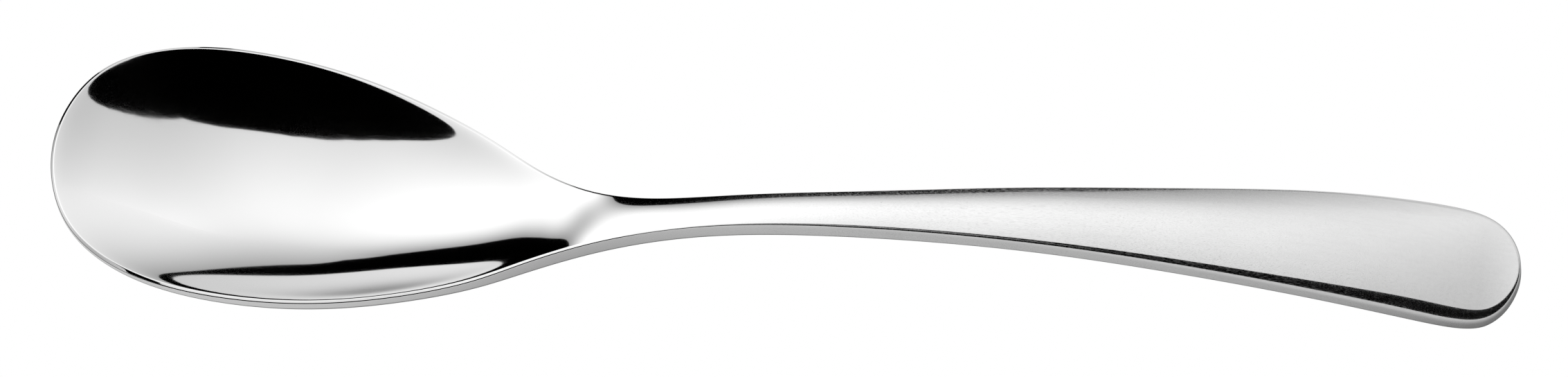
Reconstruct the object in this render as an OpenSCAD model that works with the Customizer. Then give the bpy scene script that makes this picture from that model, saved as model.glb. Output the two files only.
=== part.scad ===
// Coffee spoon of polished stainless steel, drawn as it lies on a table:
// the bowl rests on its belly and the handle on the underside of its end.
// +X runs from the tip of the bowl to the end of the handle, +Y is across,
// +Z is up. Millimetres. The spoon is one forging; it is drawn here as its
// three regions, which meet face to face: bowl, neck and handle.

/* [Outline] */
// Length over all, tip of the bowl to end of the handle
overall_length = 140; // [125:1:155]
// Greatest width of the bowl
bowl_width = 30.8; // [28:0.2:34]
// Width of the neck at its narrowest
neck_width = 3.9; // [3.5:0.1:5]
// Greatest width of the handle, near its end
handle_width = 13.8; // [11:0.2:16]

/* [Section] */
// Depth of the bowl under its rim
bowl_depth = 4.7; // [4.2:0.1:5.4]
// Height of the crown along the top of the handle
handle_crown = 0.7; // [0.4:0.05:0.9]
// Height of the side at the neck
side_height = 1.7; // [1.6:0.1:2.0]
// Thickness of the handle's back added under the whole spoon
back_extra = 0; // [0:0.1:0.6]

/* [Edges] */
// Width of the flat land on the rim of the bowl
rim_land = 0.2; // [0.15:0.05:0.4]
// Rounding of the upper edge at the rim of the bowl and at the neck
rim_round = 0.12; // [0.1:0.01:0.2]
// Rounding of the upper edge on the broad part of the handle
end_round = 1.4; // [1.0:0.1:1.6]
// Rounding of the lower edges
back_round = 0.3; // [0.15:0.05:0.35]

/* [Fineness] */
// Sections drawn between two stations
span_steps = 4; // [2:1:5]
// Strips between centre line and edge on the upper face
top_strips = 9; // [4:1:10]
// Strips between centre line and edge on the back
back_strips = 7; // [4:1:10]

/* [Hidden] */

// Stations along the spoon at its default size. Smooth curves are drawn
// near these values, as a bent batten lies near the weights that hold it.
// [ distance from the tip, half width, height of the edge, hollow under the
//   edge (less than 0: crown), height of the side, thickness on the centre,
//   rounding of the upper edge ]
stations = [
    [  2.5, 10.4, 12.05,  1.0,  0.8,  0.9,  0.12],  // front of the bowl
    [  8.0, 14.3, 10.7,   2.7,  0.8,  1.1,  0.12],
    [ 15.0, 15.7,  9.15,  4.55, 0.9,  1.35, 0.12],  // widest part of the bowl
    [ 24.0, 15.2,  7.4,   4.7,  1.0,  1.5,  0.12],  // deepest part of the bowl
    [ 32.0, 13.1,  5.9,   4.65, 1.0,  1.55, 0.12],
    [ 40.5,  9.3,  4.25,  2.55, 1.1,  1.55, 0.12],
    [ 45.0,  6.0,  3.7,   1.15, 1.6,  1.75, 0.12],
    [ 51.0,  3.1,  3.75, -0.35, 1.7,  2.6,  0.12],  // bowl runs out into the neck
    [ 58.0,  1.9,  4.8,  -0.2,  1.6,  2.4,  0.12],
    [ 66.5,  1.9,  6.35, -0.18, 1.7,  2.4,  0.2],   // narrowest part of the neck
    [ 79.0,  2.3,  7.0,  -0.24, 1.8,  2.3,  0.38],
    [ 93.0,  3.4,  7.25, -0.37, 1.7,  2.2,  0.45],  // top of the arch
    [106.0,  4.5,  6.55, -0.6,  1.9,  2.5,  0.6],
    [120.5,  6.2,  5.5,  -0.7,  2.0,  2.7,  0.9],
    [131.0,  6.9,  3.75, -0.6,  2.45, 3.05, 1.4],
    [137.5,  7.1,  1.6,  -0.35, 1.75, 2.1,  1.15]   // rounded end
];
tip_half = 3.4;     // bluntness of the tip
tip_height = 12.7;  // height of the tip's edge
end_half = 2.3;     // bluntness of the handle's end
end_height = 1.35;  // height of the end's edge
end_side = 1.3;     // height of the end's side
end_lip = 0.3;      // rounding of the upper edge right at the end

bowl_end = 8;       // place between stations where bowl and neck meet
neck_end = 10.5;    // place between stations where neck and handle meet
bowl_foot = 8;      // where the section lines fan out at the tip
end_foot = 3.5;     // where the section lines fan out at the end
rest_z = 0.1;       // height of the small flats on which the spoon rests

default_length = 140;
default_bowl = 30.8;
default_neck = 3.9;
default_handle = 13.8;
default_depth = 4.7;
default_crown = 0.7;
default_side = 1.7;
default_round = 1.4;

len_scale = overall_length / default_length;
function ease(u) = let (v = min(1, max(0, u))) v * v * (3 - 2 * v);

// width factor: the bowl's, then the neck's, then the handle's
function width_scale(x) = let (
        b = bowl_width / default_bowl,
        n = neck_width / default_neck,
        h = handle_width / default_handle)
    x < 60 ? b + (n - b) * ease((x - 42) / 14) : n + (h - n) * ease((x - 68) / 40);
function hollow_of(d) = d > 0 ? d * bowl_depth / default_depth : d * handle_crown / default_crown;
function side_of(s) = s * side_height / default_side;
function round_of(r) = r > 0.15 ? r * end_round / default_round : rim_round;

// one station at the chosen size: [x, half width, height, hollow, side, belly, rounding]
function sized(r) = let (
        d = hollow_of(r[3]),
        s = side_of(r[4]),
        k = r[5] + back_extra + (r[3] > 0 ? 0 : (d - r[3]) * -1))
    [r[0] * len_scale, r[1] * width_scale(r[0]), r[2], d, s, max(0, d + k - s), round_of(r[6])];
body = [for (r = stations) sized(r)];
first = body[0];
last = body[len(body) - 1];
// hollow, belly and width all run out to nothing at the tip and at the end
tip = [-first[0] / 23, tip_half * width_scale(0), tip_height, -first[3] / 23, first[4], -first[5] / 23, first[6]];
end = [overall_length + (overall_length - last[0]) / 23, end_half * width_scale(140), end_height,
       -last[3] / 23, side_of(end_side), -last[5] / 23, round_of(end_lip)];
rows = concat([tip], body, [end]);
count = len(rows);
t_tip = -0.5;
t_end = count - 0.5;

// the other long edge is the mirror image, so curves run smoothly round the ends
function flip(r) = [r[0], -r[1], r[2], r[3], r[4], r[5], r[6]];
function row(i) = i < 0 ? flip(rows[-1 - i]) : i >= count ? flip(rows[2 * count - 1 - i]) : rows[i];

// smooth curve near the stations, and its direction
function at(t) = let (k = floor(t), u = t - k)
    (pow(1 - u, 3) * row(k - 1) + (3 * pow(u, 3) - 6 * u * u + 4) * row(k)
     + (-3 * pow(u, 3) + 3 * u * u + 3 * u + 1) * row(k + 1) + pow(u, 3) * row(k + 2)) / 6;
function dir(t) = let (k = floor(t), u = t - k,
        d = (-pow(1 - u, 2) * row(k - 1) + (3 * u * u - 4 * u) * row(k)
             + (-3 * u * u + 2 * u + 1) * row(k + 1) + u * u * row(k + 2)) / 2)
    [d[0], d[1]];
function out(t) = let (d = dir(t)) [-d[1], d[0]] / norm(d);

// rounding and land of the upper edge at one place; the flat side keeps at least 0.1
function rounding(p) = min(p[6], p[4] - back_round - 0.1);
function land(x) = 0.1 + (rim_land - 0.1) * (1 - ease((x / len_scale - 38) / 25));
function band(p) = rounding(p) + land(p[0]);

// inner edge of the rim: the outline moved in by the width of rounding and land
function inner(t) = let (p = at(t), n = out(t), b = band(p)) [p[0] - b * n[0], p[1] - b * n[1]];

// place on the outline, or on the inner edge, that lies at a given x
function seek(x, lo, hi, n) = let (m = (lo + hi) / 2)
    n == 0 ? m : at(m)[0] < x ? seek(x, m, hi, n - 1) : seek(x, lo, m, n - 1);
function seek_in(x, lo, hi, n) = let (m = (lo + hi) / 2)
    n == 0 ? m : inner(m)[0] < x ? seek_in(x, m, hi, n - 1) : seek_in(x, lo, m, n - 1);

function rim_z(x) = at(seek(x, t_tip, t_end, 18))[2];
// the hollow holds out a little longer before it turns into the crown of the neck
function swell(x) = 0.18 * exp(-pow((x / len_scale - 49.4) / 2.4, 2)) - 0.05 * exp(-pow((x / len_scale - 55.5) / 3, 2));
// upper face: hollow in the bowl, crowned on the handle
function top_z(x, y) = let (t = seek_in(x, t_tip, t_end, 18), w = inner(t)[1], s = w > 0.01 ? min(1, abs(y) / w) : 1)
    rim_z(x) - (at(t)[3] + swell(x)) * (1 - s * s);
// back: belly of the bowl, running out to a flat underside of the handle,
// and a small flat under the belly and under the end
function back_z(x, y) = let (p = at(seek(x, t_tip, t_end, 18)), s = p[1] > 0.01 ? min(1, abs(y) / p[1]) : 1)
    max(rest_z, p[2] - p[4] - p[5] * (1 - s * s));

// section lines run straight across, and fan out at the tip and at the end
function foot(x) = x < 2 * bowl_foot ? bowl_foot + x / 2
    : overall_length - x < 2 * end_foot ? overall_length - end_foot - (overall_length - x) / 2 : x;

// one half of a section, from the centre line of the upper face round the edge to the centre line of the back
function half_section(t) = let (
        p = at(t), n = out(t), o = [p[0], p[1]], f = [foot(p[0]), 0], v = f - o,
        reach = -(v * n), r = rounding(p), b = band(p), c = back_round,
        z = p[2], qb = b / reach, qc = c / reach)
    concat(
        [for (j = [0 : top_strips - 1]) let (q = 1 - (1 - qb) * j / top_strips, a = o + v * q) [a[0], a[1], top_z(a[0], a[1])]],
        [let (a = o + v * qb) [a[0], a[1], rim_z(a[0])]],
        [let (a = o + v * r / reach) [a[0], a[1], rim_z(a[0])]],
        [for (g = [22.5, 45, 67.5]) let (a = o + v * r * (1 - sin(g)) / reach) [a[0], a[1], rim_z(max(0.01, a[0])) - r * (1 - cos(g))]],
        [[o[0], o[1], z - r]],
        [[o[0], o[1], z - p[4] + c]],
        [let (a = o + v * qc) [a[0], a[1], back_z(a[0], a[1])]],
        [for (j = [1 : back_strips]) let (q = qc + (1 - qc) * j / back_strips, a = o + v * q) [a[0], a[1], back_z(a[0], a[1])]]
    );

half_count = top_strips + back_strips + 8;      // points in half a section
ring_count = 2 * half_count - 2;                // points in a whole section
side_index = top_strips + 5;                    // upper end of the flat side
function mirrored(h) = [for (j = [half_count - 2 : -1 : 1]) [h[j][0], -h[j][1], h[j][2]]];

// a length of the spoon between two places, closed at the tip, at the end or by flat faces
function places(a, b) = let (n = ceil((b - a) * span_steps)) [for (i = [0 : n]) a + (b - a) * i / n];
function sections(a, b) = [for (t = places(a, b)) let (h = half_section(t)) concat(h, mirrored(h))];
function fold(j) = j >= half_count ? ring_count - j : j;

module length_of(secs, folds_first, folds_last) {
    n = len(secs);
    points = [for (s = secs) for (p = s) p];
    function id(i, j) = let (m = j % ring_count)
        i * ring_count + ((i == 0 && folds_first) || (i == n - 1 && folds_last) ? fold(m) : m);
    skin = [for (i = [0 : n - 2]) for (j = [0 : ring_count - 1])
        let (a = id(i, j), b = id(i, j + 1), c = id(i + 1, j + 1), d = id(i + 1, j),
             lead = j < side_index || (j >= half_count - 1 && j < ring_count - side_index))
        each lead == folds_last ? [[a, b, d], [b, c, d]] : [[a, b, c], [a, c, d]]];
    caps = concat(
        folds_first ? [] : [[for (j = [ring_count - 1 : -1 : 0]) id(0, j)]],
        folds_last ? [] : [[for (j = [0 : ring_count - 1]) id(n - 1, j)]]);
    translate([-overall_length / 2, 0, -low])
        polyhedron(points = points, faces = concat(skin, caps), convexity = 6);
}

bowl_sections = sections(t_tip, bowl_end);
neck_sections = sections(bowl_end, neck_end);
handle_sections = sections(neck_end, t_end);
// lowest point, which stands on the table
low = min([for (g = [bowl_sections, handle_sections]) for (s = g) for (p = s) p[2]]);

// hollow oval bowl with its ground rim
module bowl() color([0.80, 0.80, 0.80]) length_of(bowl_sections, true, false);

// slender neck rising out of the bowl
module neck() color([0.76, 0.76, 0.77]) length_of(neck_sections, false, false);

// arched handle widening to its rounded end
module handle() color([0.78, 0.78, 0.79]) length_of(handle_sections, false, true);

bowl();
neck();
handle();
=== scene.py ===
import math

import bpy
import numpy as np
from mathutils import Matrix, Vector


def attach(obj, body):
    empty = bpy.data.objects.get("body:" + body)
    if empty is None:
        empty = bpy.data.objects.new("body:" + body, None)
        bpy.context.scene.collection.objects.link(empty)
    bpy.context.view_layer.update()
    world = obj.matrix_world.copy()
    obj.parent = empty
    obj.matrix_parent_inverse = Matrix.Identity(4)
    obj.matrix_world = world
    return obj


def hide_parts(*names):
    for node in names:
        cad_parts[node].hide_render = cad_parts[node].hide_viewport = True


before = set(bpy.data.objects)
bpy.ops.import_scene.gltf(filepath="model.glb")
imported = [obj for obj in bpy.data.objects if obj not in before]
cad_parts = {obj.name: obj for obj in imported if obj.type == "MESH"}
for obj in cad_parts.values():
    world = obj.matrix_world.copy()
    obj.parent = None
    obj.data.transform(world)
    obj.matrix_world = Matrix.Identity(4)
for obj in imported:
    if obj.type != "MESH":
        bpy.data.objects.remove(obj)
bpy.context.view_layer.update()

# Coffee spoon of mirror-polished steel. Shape is worked out in millimetres,
# x from the tip of the bowl, with the same stations as the solid model, and
# drawn as three fine meshes that meet on flat sections.

# distance from the tip, half width, height of the edge, hollow under the edge
# (less than 0: crown), height of the side, thickness on the centre, edge rounding
STATIONS = [
    [2.5, 10.4, 12.05, 1.0, 0.8, 0.9, 0.12],
    [8.0, 14.3, 10.7, 2.7, 0.8, 1.1, 0.12],
    [15.0, 15.7, 9.15, 4.55, 0.9, 1.35, 0.12],
    [24.0, 15.2, 7.4, 4.7, 1.0, 1.5, 0.12],
    [32.0, 13.1, 5.9, 4.65, 1.0, 1.55, 0.12],
    [40.5, 9.3, 4.25, 2.55, 1.1, 1.55, 0.12],
    [45.0, 6.0, 3.7, 1.15, 1.6, 1.75, 0.12],
    [51.0, 3.1, 3.75, -0.35, 1.7, 2.6, 0.12],
    [58.0, 1.9, 4.8, -0.2, 1.6, 2.4, 0.12],
    [66.5, 1.9, 6.35, -0.18, 1.7, 2.4, 0.2],
    [79.0, 2.3, 7.0, -0.24, 1.8, 2.3, 0.38],
    [93.0, 3.4, 7.25, -0.37, 1.7, 2.2, 0.45],
    [106.0, 4.5, 6.55, -0.6, 1.9, 2.5, 0.6],
    [120.5, 6.2, 5.5, -0.7, 2.0, 2.7, 0.9],
    [131.0, 6.9, 3.75, -0.6, 2.45, 3.05, 1.4],
    [137.5, 7.1, 1.6, -0.35, 1.75, 2.1, 1.15],
]
LENGTH = 140.0
TIP_HALF, TIP_HEIGHT = 3.4, 12.7
END_HALF, END_HEIGHT, END_SIDE, END_ROUND = 2.3, 1.35, 1.3, 0.3
BOWL_FOOT, END_FOOT = 8.0, 3.5
BOWL_END, NECK_END = 8.0, 10.5     # places between stations where the three lengths meet
BACK_ROUND = 0.3                   # rounding of the lower edges
REST = 0.1                         # height of the small flats on which the spoon rests
LAND_FALL, TIP_FALL, FRONT_FALL, CREST = 0.27, 0.2, 0.55, 0.025  # outward slope of the rim's land, more of it at the tip and beside it; breadth of the turn between wall and land
RIM_SLOPE, TIP_SLOPE = 0.385, 0.32  # slope of the wall at the rim, less of it near the tip
WALL_RUN, TIP_RUN, WALL_FADE = 0.5, 0.3, 5.0  # breadths over which the wall steepens (more at the tip) and joins the hollow
STEPS = 18                         # sections between two stations


def ease(u):
    u = np.clip(u, 0.0, 1.0)
    return u * u * (3 - 2 * u)


def station_rows():
    body = np.array([[x, w, z, d, s, max(0.0, d + k - s), r] for x, w, z, d, s, k, r in STATIONS])
    first, last = body[0], body[-1]
    tip = np.array([-first[0] / 23, TIP_HALF, TIP_HEIGHT, -first[3] / 23, first[4], -first[5] / 23, first[6]])
    end = np.array([LENGTH + (LENGTH - last[0]) / 23, END_HALF, END_HEIGHT, -last[3] / 23, END_SIDE, -last[5] / 23, END_ROUND])
    return np.vstack([tip, body, end])


ROWS = station_rows()
COUNT = len(ROWS)
T_TIP, T_END = -0.5, COUNT - 0.5
FLIP = np.array([1, -1, 1, 1, 1, 1, 1.0])
PADDED = np.vstack([ROWS[1] * FLIP, ROWS[0] * FLIP, ROWS, ROWS[-1] * FLIP, ROWS[-2] * FLIP])


def curve(t, slope=False):
    """smooth curve near the stations (or its derivative); the far edge mirrors the near one"""
    t = np.atleast_1d(np.asarray(t, float))
    k = np.clip(np.floor(t).astype(int), -1, COUNT - 1)
    u = (t - k)[:, None]
    a, b, c, d = PADDED[k + 1], PADDED[k + 2], PADDED[k + 3], PADDED[np.minimum(k + 4, len(PADDED) - 1)]
    if slope:
        return (-(1 - u) ** 2 * a + (3 * u ** 2 - 4 * u) * b + (-3 * u ** 2 + 2 * u + 1) * c + u ** 2 * d) / 2
    return ((1 - u) ** 3 * a + (3 * u ** 3 - 6 * u ** 2 + 4) * b + (-3 * u ** 3 + 3 * u ** 2 + 3 * u + 1) * c + u ** 3 * d) / 6


def outward(t):
    d = curve(t, True)
    n = np.stack([-d[:, 1], d[:, 0]], 1)
    return n / np.linalg.norm(n, axis=1)[:, None]


def land(x):
    return 0.1 + 0.1 * (1 - ease((x - 38) / 25))


def along(x, xs, ys):
    """ys over xs, carried on in a straight line past both ends"""
    out = np.interp(x, xs, ys)
    lo, hi = 40, len(xs) - 41
    first = (ys[lo] - ys[0]) / (xs[lo] - xs[0])
    last = (ys[-1] - ys[hi]) / (xs[-1] - xs[hi])
    out = np.where(x < xs[0], ys[0] + (x - xs[0]) * first, out)
    return np.where(x > xs[-1], ys[-1] + (x - xs[-1]) * last, out)


FINE = np.linspace(T_TIP, T_END, 36001)
V = curve(FINE)
# the hollow holds out a little longer before it turns into the crown of the neck
V[:, 3] += 0.18 * np.exp(-((V[:, 0] - 49.4) / 2.4) ** 2) - 0.05 * np.exp(-((V[:, 0] - 55.5) / 3) ** 2)
N = outward(FINE)
BAND = V[:, 6] + land(V[:, 0])
IN_X, IN_W = V[:, 0] - BAND * N[:, 0], V[:, 1] - BAND * N[:, 1]


def ratio(a, w):
    """a over w squared, which both run out to nothing at tip and end"""
    q = a / np.maximum(w, 1e-6) ** 2
    q[:60], q[-60:] = q[60], q[-61]
    return q


BOW = ratio(V[:, 3], IN_W)
BELLY = ratio(V[:, 5], V[:, 1])


K = ratio(N[:, 1] * IN_W, IN_W) / 2


def top(x, y):
    """height of the upper face: hollow in the bowl with a fine rim, crowned on the handle"""
    h = along(x, IN_X, V[:, 3]) - np.interp(x, IN_X, BOW) * y * y
    # distance inwards from the land; the wall flattens towards it, turns over a narrow crest and falls away
    k = np.interp(x, IN_X, K)
    d = k * (along(x, IN_X, np.sign(IN_W) * IN_W ** 2) - y * y)
    slope = np.interp(x, IN_X, BOW) / k
    inside = np.maximum(d, 0)
    flat = 1 - (RIM_SLOPE + (TIP_SLOPE - RIM_SLOPE) * np.exp(-((x - 5) / 9) ** 2)) / np.maximum(slope, 0.05)
    flat = (flat + np.sqrt(flat ** 2 + 0.01)) / 2
    fall = LAND_FALL * (1 - 0.55 * np.exp(-((x - 41) / 5) ** 2)) + TIP_FALL * np.exp(-(x / 5.5) ** 2) + FRONT_FALL * np.exp(-((x - 7) / 4.5) ** 2)
    run = WALL_RUN + TIP_RUN * np.exp(-((x - 5) / 4) ** 2)
    lift = flat * (np.exp(-inside / WALL_FADE) - np.exp(-inside / run)) / (1 / run - 1 / WALL_FADE)
    depth = slope * (flat * inside - lift) - fall * d + (fall + slope * (1 - flat)) * CREST * np.logaddexp(0, d / CREST)
    rim = 1 - ease((x - 50) / 7)
    return along(x, V[:, 0], V[:, 2]) - h - rim * (depth - h)


def back(x, y):
    """height of the underside, with the two small flats"""
    edge = along(x, V[:, 0], V[:, 2] - V[:, 4] - V[:, 5]) + np.interp(x, V[:, 0], BELLY) * y * y
    return (edge + REST + np.sqrt((edge - REST) ** 2 + 0.03 ** 2)) / 2


def gradient(height, x, y, h=0.008):
    return (height(x + h, y) - height(x - h, y)) / (2 * h), (height(x, y + h) - height(x, y - h)) / (2 * h)


def unit(a):
    return a / np.linalg.norm(a, axis=-1, keepdims=True)


TOP_COARSE, TOP_FINE, ARC, SIDE, LOWER, UNDER = 40, 30, 10, 4, 6, 30


def half_sections(t):
    """points and normals from the centre line of the upper face round one edge to the centre line of the back"""
    p, n, d = curve(t), outward(t), curve(t, True)
    x, w, z, side, r = p[:, 0], p[:, 1], p[:, 2], p[:, 4], p[:, 6]
    foot = np.where(x < 2 * BOWL_FOOT, BOWL_FOOT + x / 2, np.where(LENGTH - x < 2 * END_FOOT, LENGTH - END_FOOT - (LENGTH - x) / 2, x))
    o = np.stack([x, w], 1)
    v = np.stack([foot, np.zeros_like(foot)], 1) - o
    reach = -(v * n).sum(1)
    v = v / reach[:, None]
    b, c = r + land(x), BACK_ROUND
    run = np.linalg.norm(d[:, :2], axis=1)
    tangent = unit(np.stack([d[:, 0] / run, d[:, 1] / run, d[:, 2] / run], 1))

    def at(dist):
        return o[:, None, :] + v[:, None, :] * dist[:, :, None]

    def face(height, dist, up):
        a = at(dist)
        gx, gy = gradient(height, a[..., 0], a[..., 1])
        nn = unit(np.stack([-gx, -gy, np.ones_like(gx)], -1))
        return np.concatenate([a, height(a[..., 0], a[..., 1])[..., None]], -1), nn if up else -nn

    def rounded(dist, height, across, upward):
        a = at(dist)
        nn = across[..., None] * np.concatenate([n, np.zeros((len(n), 1))], 1)[:, None, :] + upward[..., None] * np.array([0, 0, 1.0])
        nn = nn - (nn * tangent[:, None, :]).sum(-1, keepdims=True) * tangent[:, None, :]
        return np.concatenate([a, height[..., None]], -1), unit(nn)

    # where the rounding of the upper edge leaves the upper face without a kink
    start, tilt = r.copy(), np.zeros_like(r)
    for _ in range(6):
        step = np.minimum(0.02, 0.2 * r)
        a, e = at((start - step)[:, None])[:, 0], at((start + step)[:, None])[:, 0]
        tilt = -np.arctan((top(a[:, 0], a[:, 1]) - top(e[:, 0], e[:, 1])) / (2 * step))
        start = r * (1 - np.sin(tilt))
    s = at(start[:, None])[:, 0]
    centre = top(s[:, 0], s[:, 1]) - r * np.cos(tilt)

    mid = b + 0.7
    j = np.arange(TOP_COARSE) / TOP_COARSE
    coarse = reach[:, None] + (mid - reach)[:, None] * j[None, :]
    j = np.arange(TOP_FINE) / TOP_FINE
    fine = mid[:, None] + (start - mid)[:, None] * j[None, :]
    upper = face(top, np.concatenate([coarse, fine], 1), True)

    g = tilt[:, None] + (math.pi / 2 - tilt)[:, None] * (np.arange(ARC + 1) / ARC)[None, :]
    arc = rounded(r[:, None] * (1 - np.sin(g)), centre[:, None] + r[:, None] * np.cos(g), np.sin(g), np.cos(g))

    foot_z = back(x, w)
    low = foot_z + c
    j = (np.arange(1, SIDE + 1) / SIDE)[None, :]
    wall = rounded(np.zeros((len(t), SIDE)), centre[:, None] + (low - centre)[:, None] * j, np.ones((len(t), SIDE)), np.zeros((len(t), SIDE)))

    inside = at(np.full((len(t), 1), c))[:, 0]
    end_z = back(inside[:, 0], inside[:, 1])
    j = (np.arange(1, LOWER) / LOWER)[None, :]
    dist = c * j ** 2
    height = (1 - j) ** 2 * low[:, None] + 2 * j * (1 - j) * foot_z[:, None] + j ** 2 * end_z[:, None]
    dd = 2 * j * c + 0 * low[:, None]
    dz = 2 * (1 - j) * (foot_z - low)[:, None] + 2 * j * (end_z - foot_z)[:, None]
    size = np.hypot(dd, dz)
    lower = rounded(dist + 0 * low[:, None], height, -dz / size, -dd / size)

    j = np.arange(UNDER + 1) / UNDER
    under = face(back, c + (reach - c)[:, None] * j[None, :], False)

    groups = [upper, arc, wall, lower, under]
    points = np.concatenate([q[0] for q in groups], 1)
    normals = np.concatenate([q[1] for q in groups], 1)
    # sides and lower edges: a satin finish, and a painted shade for the shadowed table they reflect
    satin_and_shade = np.concatenate([np.full(q[0].shape[1], value) for q, value in zip(groups, (0, 0, 1, 1, 0))])
    return points, normals, satin_and_shade


def whole_sections(t):
    points, normals, satin_and_shade = half_sections(t)
    flip = np.array([1, -1, 1.0])
    other = slice(points.shape[1] - 2, 0, -1)
    return (np.concatenate([points, points[:, other] * flip], 1), np.concatenate([normals, normals[:, other] * flip], 1),
            np.concatenate([satin_and_shade, satin_and_shade[other]]), points.shape[1])


PLACES = np.linspace(T_TIP, T_END, int(round((T_END - T_TIP) * STEPS)) + 1)
POINTS, NORMALS, SATIN_AND_SHADE, HALF = whole_sections(PLACES)
RING = POINTS.shape[1]
POINTS = (POINTS - np.array([LENGTH / 2, 0, REST])) * 0.001


def length_of_spoon(name, first, last, folds_first, folds_last):
    """one length of the spoon as a closed mesh, with the normals of the unbroken surface on its skin"""
    n = last - first + 1
    ids = np.arange(n * RING).reshape(n, RING)
    fold = np.where(np.arange(RING) >= HALF, RING - np.arange(RING), np.arange(RING))
    if folds_first:
        ids[0] = ids[0][fold]
    if folds_last:
        ids[-1] = ids[-1][fold]
    i, j = np.meshgrid(np.arange(n - 1), np.arange(RING), indexing="ij")
    k = (j + 1) % RING
    quads = np.stack([ids[i, j], ids[i + 1, j], ids[i + 1, k], ids[i, k]], -1).reshape(-1, 4)
    grid_i = np.stack([i, i + 1, i + 1, i], -1).reshape(-1, 4)
    grid_j = np.stack([j, j, j + 1, j + 1], -1).reshape(-1, 4)
    used, packed = np.unique(np.concatenate([quads.ravel(), ids[0], ids[-1]]), return_inverse=True)
    quads = packed[: quads.size].reshape(-1, 4)
    caps = []
    if not folds_first:
        caps.append(list(packed[-2 * RING : -RING]))
    if not folds_last:
        caps.append(list(packed[-RING:])[::-1])
    co = POINTS[first : last + 1].reshape(-1, 3)[used]
    nn = NORMALS[first : last + 1].reshape(-1, 3)
    # keep the winding that faces outwards
    a, b, c = co[quads[5, 0]], co[quads[5, 1]], co[quads[5, 2]]
    if np.cross(b - a, c - a)[2] < 0:
        quads, grid_i, grid_j = quads[:, ::-1], grid_i[:, ::-1], grid_j[:, ::-1]
        caps = [cap[::-1] for cap in caps]
    mesh = bpy.data.meshes.new(name)
    mesh.from_pydata(co.tolist(), [], quads.tolist() + [[int(q) for q in cap] for cap in caps])
    mesh.polygons.foreach_set("use_smooth", [True] * len(mesh.polygons))

    loops = [nn[gi * RING + (gj % RING)] for gi, gj in ((grid_i.ravel(), grid_j.ravel()),)][0]
    mesh.update()
    for index, cap in enumerate(caps):
        facing = np.array(mesh.polygons[len(quads) + index].normal)
        loops = np.concatenate([loops, np.tile(facing, (len(cap), 1))])

    # chart for baked detail: along the length, and round the section
    span = np.concatenate([[0], np.cumsum(np.linalg.norm(np.diff(POINTS[first : last + 1], axis=0), axis=2).max(1))])
    loop = np.concatenate([POINTS[first : last + 1], POINTS[first : last + 1, :1]], 1)
    girth = np.concatenate([[0], np.cumsum(np.linalg.norm(np.diff(loop, axis=1), axis=2).mean(0))])
    chart = np.stack([span[grid_i.ravel()] / span[-1], girth[grid_j.ravel()] / girth[-1]], 1) * 0.94 + 0.01
    for cap in caps:
        ring = co[cap][:, 1:]
        ring = (ring - ring.min(0)) / (ring.max(0) - ring.min(0)).max()
        chart = np.concatenate([chart, ring * 0.03 + 0.96])
    layer = mesh.uv_layers.new(name="OFBake")
    layer.data.foreach_set("uv", chart.ravel().astype(np.float32))
    mark = mesh.attributes.new("satin_and_shade", "FLOAT", "POINT")
    mark.data.foreach_set("value", np.tile(SATIN_AND_SHADE, n)[used].astype(np.float32))
    mesh.normals_split_custom_set(loops.tolist())
    obj = bpy.data.objects.new(name, mesh)
    bpy.context.scene.collection.objects.link(obj)
    return obj


A, B = int(round((BOWL_END - T_TIP) * STEPS)), int(round((NECK_END - T_TIP) * STEPS))
bowl = length_of_spoon("polished_bowl", 0, A, True, False)
neck = length_of_spoon("polished_neck", A, B, False, False)
handle = length_of_spoon("polished_handle", B, len(PLACES) - 1, False, True)


# ---------------------------------------------------------------- material

class Graph:
    """small helper that adds shader nodes and links them"""

    def __init__(self, tree):
        self.tree = tree
        tree.nodes.clear()

    def node(self, kind, inputs=None, **settings):
        n = self.tree.nodes.new(kind)
        for key, value in settings.items():
            setattr(n, key, value)
        for key, value in (inputs or {}).items():
            if isinstance(value, bpy.types.NodeSocket):
                self.tree.links.new(value, n.inputs[key])
            else:
                n.inputs[key].default_value = value
        return n

    def math(self, operation, a, b=0.0, c=0.0, clamp=False):
        return self.node("ShaderNodeMath", {0: a, 1: b, 2: c}, operation=operation, use_clamp=clamp).outputs[0]

    def ramp(self, value, a, b, c, d, smooth=False):
        n = self.node("ShaderNodeMapRange", {"Value": value, "From Min": a, "From Max": b, "To Min": c, "To Max": d},
                      interpolation_type="SMOOTHSTEP" if smooth else "LINEAR", clamp=True)
        return n.outputs["Result"]

    def noise(self, vector, scale, detail=2.0, rough=0.5):
        return self.node("ShaderNodeTexNoise", {"Vector": vector, "Scale": scale, "Detail": detail, "Roughness": rough}).outputs["Fac"]


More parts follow.
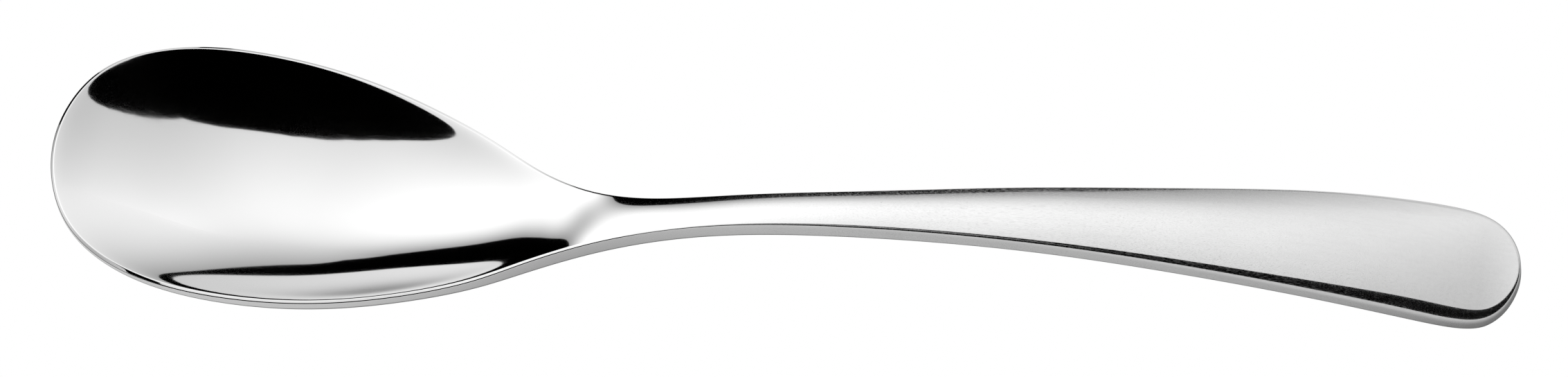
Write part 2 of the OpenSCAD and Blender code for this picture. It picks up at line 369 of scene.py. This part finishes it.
def steel():
    m = bpy.data.materials.new("polished_steel")
    m.use_nodes = True
    g = Graph(m.node_tree)
    where = g.node("ShaderNodeTexCoord").outputs["Object"]
    x = g.node("ShaderNodeSeparateXYZ", {0: where}).outputs[0]
    satin_and_shade = g.node("ShaderNodeAttribute", attribute_name="satin_and_shade").outputs["Fac"]

    cloud = g.noise(where, 90.0, 3.0)
    long_way = g.node("ShaderNodeVectorMath", {0: where, 1: (60.0, 2600.0, 2600.0)}, operation="MULTIPLY").outputs[0]
    hair = g.noise(long_way, 1.0, 2.0, 0.6)
    thin_way = g.node("ShaderNodeVectorMath", {0: where, 1: (1500.0, 80000.0, 80000.0)}, operation="MULTIPLY").outputs[0]
    line = g.noise(thin_way, 1.0, 2.0, 0.6)
    cross_way = g.node("ShaderNodeVectorMath", {0: where, 1: (900.0, 300.0, 900.0)}, operation="MULTIPLY").outputs[0]
    wipe = g.noise(cross_way, 1.0, 2.0, 0.5)

    # brightest in the bowl, a little darker on the handle
    tone = g.ramp(x, -0.025, 0.015, 0.6, 0.527, True)
    tone = g.math("ADD", tone, g.ramp(cloud, 0.3, 0.7, -0.008, 0.008))
    # satin sides and lower edges a little darker: painted shade standing in for the shadowed table they reflect
    tone = g.math("SUBTRACT", tone, g.math("MULTIPLY", satin_and_shade, 0.02))
    brushed = g.ramp(x, -0.025, 0.015, 0.0, 1.0, True)
    tone = g.math("ADD", tone, g.math("MULTIPLY", g.ramp(hair, 0.3, 0.7, -0.011, 0.011), brushed))
    colour = g.node("ShaderNodeCombineColor", {0: tone, 1: tone, 2: tone}).outputs[0]

    rough = g.ramp(cloud, 0.3, 0.7, 0.03, 0.05)
    rough = g.math("ADD", rough, g.math("MULTIPLY", g.ramp(hair, 0.5, 0.75, 0.2, 1.0), g.ramp(x, -0.02, 0.03, 0.015, 0.1, True)))
    rough = g.math("ADD", rough, g.math("MULTIPLY", satin_and_shade, 0.16))
    rough = g.math("ADD", rough, g.math("MULTIPLY", g.ramp(line, 0.54, 0.64, 0.0, 0.42), brushed))

    wave = g.node("ShaderNodeBump", {"Strength": 1.0, "Distance": 0.000003, "Height": g.noise(where, 130.0, 1.0)})
    fine = g.node("ShaderNodeBump", {"Strength": 1.0, "Distance": 0.00000012, "Height": hair, "Normal": wave.outputs[0]})
    last = g.node("ShaderNodeBump", {"Strength": 1.0, "Distance": 0.0000002, "Height": wipe, "Normal": fine.outputs[0]})

    shader = g.node("ShaderNodeBsdfPrincipled", {"Base Color": colour, "Metallic": 1.0, "Roughness": rough, "Normal": last.outputs[0]})
    out = g.node("ShaderNodeOutputMaterial")
    m.node_tree.links.new(shader.outputs[0], out.inputs[0])
    return m


finish = steel()
for piece, node in ((bowl, "bowl"), (neck, "neck"), (handle, "handle")):
    piece.data.materials.append(finish)
    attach(piece, "root")
    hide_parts(node)


# ------------------------------------------------------------------- stage

def sheet(name, corners, material):
    mesh = bpy.data.meshes.new(name)
    mesh.from_pydata([Vector(c) for c in corners], [], [list(range(len(corners)))])
    obj = bpy.data.objects.new(name, mesh)
    mesh.materials.append(material)
    bpy.context.scene.collection.objects.link(obj)
    return obj


def glow(name):
    m = bpy.data.materials.new(name)
    m.use_nodes = True
    g = Graph(m.node_tree)
    spot = g.node("ShaderNodeSeparateXYZ", {0: g.node("ShaderNodeTexCoord").outputs["Object"]})

    def shine(strength, clear=None):
        e = g.node("ShaderNodeEmission", {"Color": (1, 1, 1, 1), "Strength": strength})
        if clear is not None:
            e = g.node("ShaderNodeMixShader", {0: clear, 1: e.outputs[0], 2: g.node("ShaderNodeBsdfTransparent").outputs[0]})
        m.node_tree.links.new(e.outputs[0], g.node("ShaderNodeOutputMaterial").inputs[0])
        return m

    return g, spot.outputs[0], spot.outputs[1], spot.outputs[2], shine


# softbox a metre overhead: brightest along its middle, its front edge above the spoon
g, x, y, z, shine = glow("softbox_light")


def spot(amount, cx, cy, long, short, turn):
    """soft bright oval on the lamp"""
    dx, dy = g.math("SUBTRACT", x, cx), g.math("SUBTRACT", y, cy)
    e1 = g.math("ADD", g.math("MULTIPLY", dx, math.cos(turn) / long), g.math("MULTIPLY", dy, math.sin(turn) / long))
    e2 = g.math("ADD", g.math("MULTIPLY", dx, -math.sin(turn) / short), g.math("MULTIPLY", dy, math.cos(turn) / short))
    far = g.math("ADD", g.math("MULTIPLY", e1, e1), g.math("MULTIPLY", e2, e2))
    return g.math("MULTIPLY", g.math("EXPONENT", g.math("MULTIPLY", far, -1.0)), amount)


softbox_light = shine(g.math("ADD", g.math("ADD", spot(1.17, -0.56, 0.62, 0.83, 0.58, 1.47), spot(1.27, 0.71, 1.99, 0.84, 3.0, -0.37)), 0.26))
softbox = sheet("softbox", [(x, y, 1.0) for x, y in (
    (-1.8, -1.1), (-0.2, -1.1), (-0.34, -0.58), (-0.405, -0.5), (-0.425, -0.42), (-0.42, -0.345), (-0.395, -0.298), (-0.335, -0.262),
    (-0.285, -0.238), (-0.23, -0.21), (-0.113, -0.136), (-0.02, -0.058), (0.035, 0.01), (0.08, 0.052), (0.148, 0.088), (0.25, 0.142),
    (0.39, 0.222), (0.512, 0.304), (0.592, 0.403), (0.655, 0.499), (0.707, 0.57), (0.762, 0.627), (0.82, 0.667), (0.887, 0.705), (1.6, 1.3), (1.6, 2.1),
    (-0.39, 2.1), (-0.585, 1.815), (-0.76, 1.69), (-0.88, 1.65), (-1.8, 1.4))], softbox_light)

# tall reflector far behind, to the right; its top and its left side melt into the softbox
g, x, y, z, shine = glow("reflector_light")
side = g.math("MULTIPLY", x, g.math("SUBTRACT", 1.68, g.math("ADD", g.math("MULTIPLY", z, 0.67), g.math("MULTIPLY", x, 0.8))))
rise = g.math("MULTIPLY", z, g.math("ADD", g.math("MULTIPLY", z, 0.23), 0.36))
clear = g.math("MAXIMUM", g.ramp(z, 0.86, 1.16, 0.0, 1.0, True), g.math("MULTIPLY", g.ramp(z, 0.82, 0.86, 0.0, 1.0), g.ramp(x, -0.33, -0.1, 1.0, 0.0, True)))
reflector_light = shine(g.math("MAXIMUM", g.math("ADD", g.math("ADD", side, rise), 0.53), 0.3), clear)
reflector = sheet("reflector", [(x, 1.75, z) for x, z in (
    (0.045, 0.0), (-0.1, 0.52), (-0.15, 0.68), (-0.33, 0.83), (-0.33, 1.16), (2.4, 1.16), (2.4, 0.0))], reflector_light)

# white table
g, x, y, z, shine = glow("white_table")
table = sheet("floor", [(2.6 * math.cos(a), 2.6 * math.sin(a), -0.0002) for a in np.linspace(0, 2 * math.pi, 64, endpoint=False)], shine(1.0))

# shade on the table under and round the spoon, deepest under it
SHADE = ((-1.0, 0.08), (0.0, 0.22), (2.0, 0.58), (5.0, 0.85), (9.0, 0.96), (14.0, 1.0))
around = np.concatenate([PLACES[::6], PLACES[-1:]])
rim, away = curve(around)[:, :2], outward(around)
rim, away = np.concatenate([rim, (rim * (1, -1))[::-1]]), np.concatenate([away, (away * (1, -1))[::-1]])
loops = [np.stack([rim[:, 0], rim[:, 1] * 0.0], 1) if far < 0 else rim + away * far for far, _ in SHADE]
count = len(rim)
shade_mesh = bpy.data.meshes.new("shade")
shade_mesh.from_pydata([((q[0] - LENGTH / 2) * 0.001, q[1] * 0.001, -0.0001) for loop in loops for q in loop], [],
                       [(k * count + i, (k + 1) * count + i, (k + 1) * count + (i + 1) % count, k * count + (i + 1) % count) for k in range(len(SHADE) - 1) for i in range(count)])
level = shade_mesh.attributes.new("light", "FLOAT", "POINT")
level.data.foreach_set("value", np.repeat([light for _, light in SHADE], count).astype(np.float32))
g, x, y, z, shine = glow("shaded_table")
shade_mesh.materials.append(shine(g.node("ShaderNodeAttribute", attribute_name="light").outputs["Fac"]))
shade = bpy.data.objects.new("shade", shade_mesh)
bpy.context.scene.collection.objects.link(shade)

# dark room round the set
dark = bpy.data.materials.new("dark_room")
dark.use_nodes = True
dg = Graph(dark.node_tree)
dark.node_tree.links.new(dg.node("ShaderNodeBsdfDiffuse", {"Color": (0, 0, 0, 1)}).outputs[0], dg.node("ShaderNodeOutputMaterial").inputs[0])
ball = bpy.data.meshes.new("room")
rings, sides = 16, 32
verts = [(3.0 * math.cos(b) * math.cos(a), 3.0 * math.cos(b) * math.sin(a), 3.0 * math.sin(b))
         for b in np.linspace(-math.pi / 2 + 0.05, math.pi / 2 - 0.05, rings) for a in np.linspace(0, 2 * math.pi, sides, endpoint=False)]
faces = [(i * sides + j, i * sides + (j + 1) % sides, (i + 1) * sides + (j + 1) % sides, (i + 1) * sides + j) for i in range(rings - 1) for j in range(sides)]
faces += [tuple(range(sides))[::-1], tuple(range((rings - 1) * sides, rings * sides))]
ball.from_pydata(verts, [], faces)
ball.materials.append(dark)
room = bpy.data.objects.new("room", ball)
bpy.context.scene.collection.objects.link(room)
for o in (softbox, reflector, shade, room):
    o.visible_camera = False
    o.visible_shadow = False

world = bpy.data.worlds.new("studio")
bpy.context.scene.world = world
world.use_nodes = True
wg = Graph(world.node_tree)
world.node_tree.links.new(wg.node("ShaderNodeBackground", {"Color": (1, 1, 1, 1), "Strength": 1.0}).outputs[0], wg.node("ShaderNodeOutputWorld").inputs[0])

# ------------------------------------------------------------------ camera
AZ, EL, ROLL = math.radians(13.315), math.radians(48.789), math.radians(7.980)
SCALE, DIST = 15.2034, 900.0       # pixels per millimetre at the aim point, millimetres away
WIDE, HIGH = 2265, 544
aim = Vector((0.0, 0.0, 0.0059))
sight = Vector((math.cos(EL) * math.sin(AZ), -math.cos(EL) * math.cos(AZ), math.sin(EL)))
right = Vector((math.cos(AZ), math.sin(AZ), 0))
up = sight.cross(right)
right, up = math.cos(ROLL) * right - math.sin(ROLL) * up, math.sin(ROLL) * right + math.cos(ROLL) * up
place = aim + sight * DIST * 0.001
middle = aim + right * ((WIDE / 2 - 1130.51) / SCALE * 0.001) + up * ((304.39 - HIGH / 2) / SCALE * 0.001)
sight = (place - middle).normalized()
right = up.cross(sight).normalized()
up = sight.cross(right)
cam = bpy.data.cameras.new("camera")
cam.sensor_fit = "HORIZONTAL"
cam.sensor_width = 36.0
cam.lens = SCALE * DIST / WIDE * 36.0
cam.clip_start, cam.clip_end = 0.01, 50.0
eye = bpy.data.objects.new("camera", cam)
eye.matrix_world = Matrix(((right.x, up.x, sight.x, place.x), (right.y, up.y, sight.y, place.y), (right.z, up.z, sight.z, place.z), (0, 0, 0, 1)))
bpy.context.scene.collection.objects.link(eye)
bpy.context.scene.camera = eye
bpy.context.scene.view_settings.view_transform = "Standard"

bpy.context.view_layer.update()
